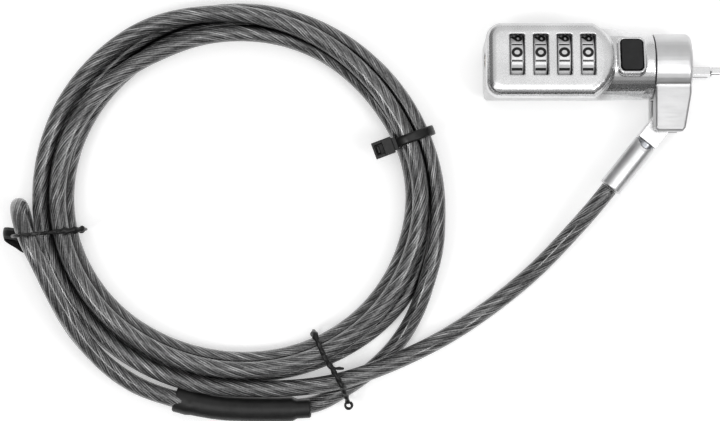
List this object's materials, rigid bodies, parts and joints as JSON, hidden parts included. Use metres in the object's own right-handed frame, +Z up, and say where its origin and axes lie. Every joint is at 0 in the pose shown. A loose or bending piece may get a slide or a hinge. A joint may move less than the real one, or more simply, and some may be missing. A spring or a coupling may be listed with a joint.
{
  "type": "laptop cable lock",
  "caption": "Laptop cable lock: number-dial head with push button, T-bar tip, swivel collar and pivoting cable end, on a plastic-covered steel cable tied up in a coil.",
  "frame": {"origin": "bottom centre of the lock head with its collar, arm and cable link, on the surface the lock lies on; the cable and what is on it are left out", "axes": "+X along the lock's axis towards the T-bar, +Z up from the surface, dials facing up, +Y away from the cable arm"},
  "size_m": [0.2316, 0.1389, 0.0299],
  "materials": {
    "cast_zinc": "satin chrome on zinc casting",
    "brushed_metal": "fine brushed",
    "dial_metal": "satin with black filled numbers",
    "bright_steel": "bright nickel",
    "spring_steel": "drawn wire",
    "brass": "turned",
    "black_button": "matte black",
    "cable_jacket": "clear smoke-grey sleeve over steel strands",
    "black_sleeve": "smooth shrink tube",
    "black_tie": "moulded nylon"
  },
  "bodies": {
    "cable": {"pivot_link": "bright_steel", "ferrule": "bright_steel", "cable_run": "cable_jacket", "cable_return": "cable_jacket", "cable_loop": "cable_jacket", "cable_coil": "cable_jacket", "shrink_sleeve": "black_sleeve", "loop_crimp": "bright_steel", "zip_tie": "black_tie", "twist_tie_left": "black_tie", "twist_tie_lower": "black_tie"},
    "collar": {"swivel_collar": "brushed_metal", "pivot_pin": "bright_steel"},
    "lock_body": {"housing": "cast_zinc", "back_cover": "cast_zinc", "cover_screw_rear": "spring_steel", "cover_screw_front": "spring_steel", "spindle_spring": "spring_steel", "detent_leaf_spring": "spring_steel", "button_spring": "spring_steel", "nose_guide": "bright_steel", "retaining_ring": "spring_steel"},
    "button": {"push_button": "black_button"},
    "t_bar": {"t_bar": "bright_steel", "t_bar_pinion": "brass"},
    "spindle": {"locking_spindle": "spring_steel"},
    "reset_screw": {"reset_screw": "brass"},
    "dial_1": {"dial_1": "dial_metal", "clutch_ring_1": "brass"},
    "dial_2": {"dial_2": "dial_metal", "clutch_ring_2": "brass"},
    "dial_3": {"dial_3": "dial_metal", "clutch_ring_3": "brass"},
    "dial_4": {"dial_4": "dial_metal", "clutch_ring_4": "brass"}
  },
  "joints": [
    {"name": "link_pivot", "type": "hinge", "parent": "cable", "child": "collar", "pos_m": [0.0226, -0.0062, 0.01163], "axis": [0, 0, 1], "range_deg": [-90, 15]},
    {"name": "head_swivel", "type": "hinge", "parent": "collar", "child": "lock_body", "pos_m": [0.0164, 0.0084, 0.01163], "axis": [1, 0, 0], "continuous": true},
    {"name": "button_press", "type": "slide", "parent": "lock_body", "child": "button", "axis": [0, -0.2924, -0.9563], "range_m": [0, 0.0025], "stiffness_N_per_m": 400, "springref_m": -0.001, "deforming": ["button_spring"]},
    {"name": "t_bar_turn", "type": "hinge", "parent": "lock_body", "child": "t_bar", "pos_m": [0.0164, 0.00643, 0.01198], "axis": [1, 0, 0], "range_deg": [0, 90]},
    {"name": "spindle_slide", "type": "slide", "parent": "lock_body", "child": "spindle", "axis": [1, 0, 0], "range_m": [0, 0.0008]},
    {"name": "reset_turn", "type": "hinge", "parent": "lock_body", "child": "reset_screw", "pos_m": [-0.0366, 0.0102, 0.01436], "axis": [1, 0, 0], "range_deg": [0, 90]},
    {"name": "dial_1_turn", "type": "hinge", "parent": "lock_body", "child": "dial_1", "pos_m": [-0.0284, 0.0102, 0.01436], "axis": [1, 0, 0], "continuous": true},
    {"name": "dial_2_turn", "type": "hinge", "parent": "lock_body", "child": "dial_2", "pos_m": [-0.02078, 0.0102, 0.01436], "axis": [1, 0, 0], "continuous": true},
    {"name": "dial_3_turn", "type": "hinge", "parent": "lock_body", "child": "dial_3", "pos_m": [-0.01316, 0.0102, 0.01436], "axis": [1, 0, 0], "continuous": true},
    {"name": "dial_4_turn", "type": "hinge", "parent": "lock_body", "child": "dial_4", "pos_m": [-0.00554, 0.0102, 0.01436], "axis": [1, 0, 0], "continuous": true}
  ],
  "couplings": [
    {"joint": "t_bar_turn", "follows": "button_press", "rad_per_m": 628.32},
    {"joint": "spindle_slide", "follows": "button_press", "ratio": 0.32}
  ]
}
